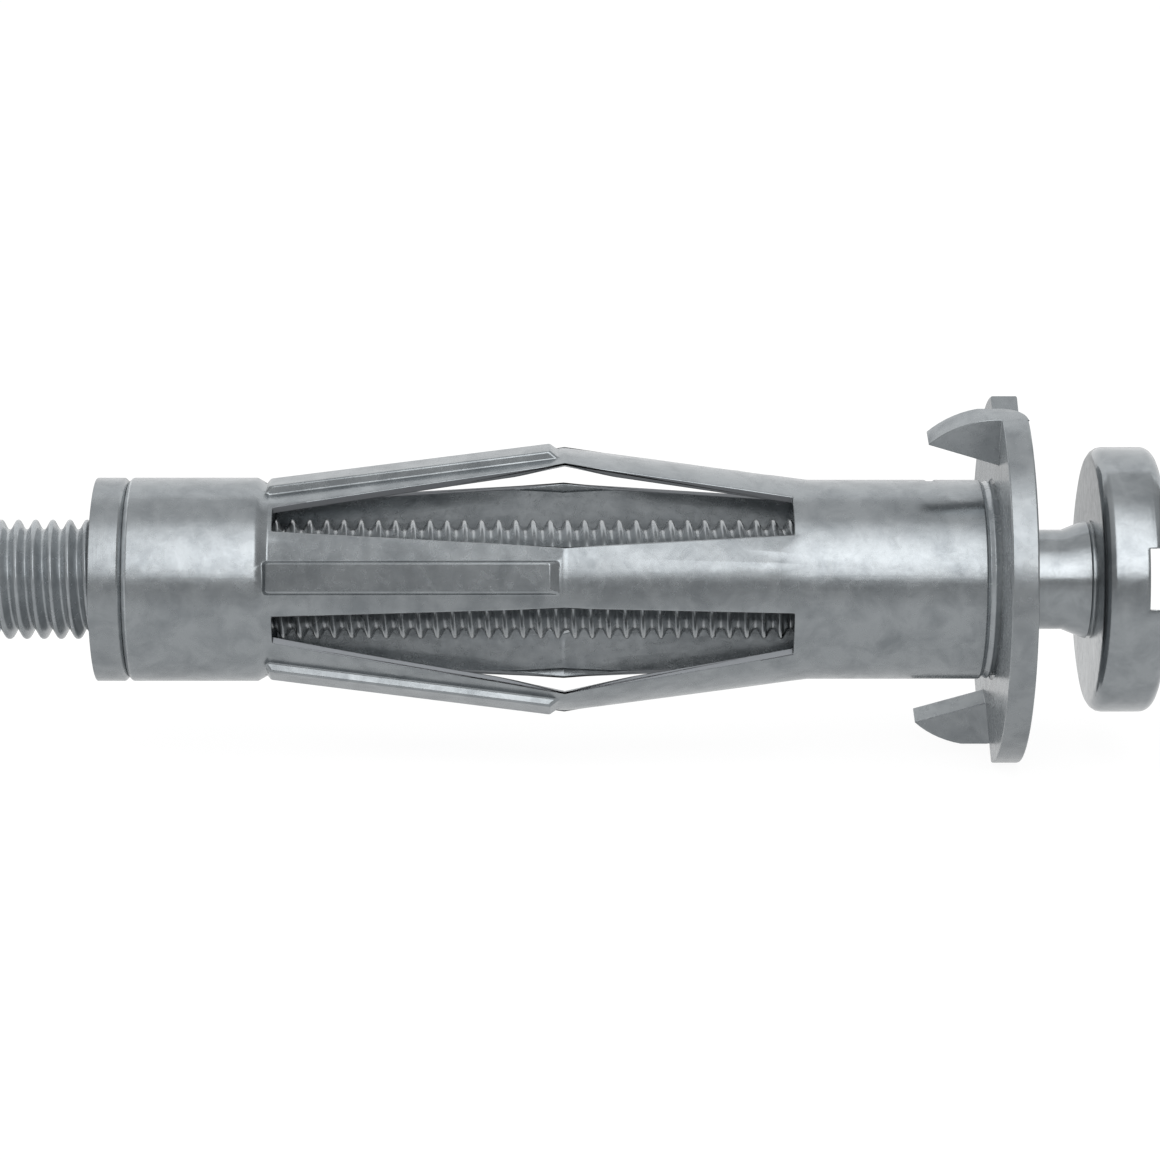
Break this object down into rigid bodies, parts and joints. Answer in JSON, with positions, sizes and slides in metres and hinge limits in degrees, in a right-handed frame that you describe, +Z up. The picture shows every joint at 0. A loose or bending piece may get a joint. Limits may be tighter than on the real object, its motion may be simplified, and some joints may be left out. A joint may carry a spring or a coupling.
{
  "type": "metal hollow wall anchor",
  "caption": "Slotted steel sleeve with outward-bent legs, a clawed wall flange, a crimped rear nut and a slotted screw, for fixing things to hollow board walls.",
  "frame": {"origin": "on the screw's axis at the rear face of the clawed flange, the face that lies on the wall", "axes": "+X along the screw's axis towards its head and the room, -X into the wall; +Z up as the anchor lies on a table, with the cut in the flange's rim down"},
  "size_m": [0.0687, 0.0214, 0.021],
  "materials": {
    "sleeve_zinc": "satin bluish zinc plating on rolled sheet steel",
    "flange_zinc": "satin zinc plating on stamped steel",
    "nut_zinc": "satin zinc plating on turned steel",
    "screw_zinc": "satin bluish zinc plating on a rolled steel thread and head"
  },
  "bodies": {
    "anchor": {"sleeve": "sleeve_zinc", "clawed_flange": "flange_zinc", "threaded_nut": "nut_zinc"},
    "screw": {"screw": "screw_zinc"}
  },
  "joints": [
    {"name": "screw_turn", "type": "hinge", "parent": "anchor", "child": "screw", "pos_m": [0, 0, 0], "axis": [-1, 0, 0], "continuous": true}
  ]
}
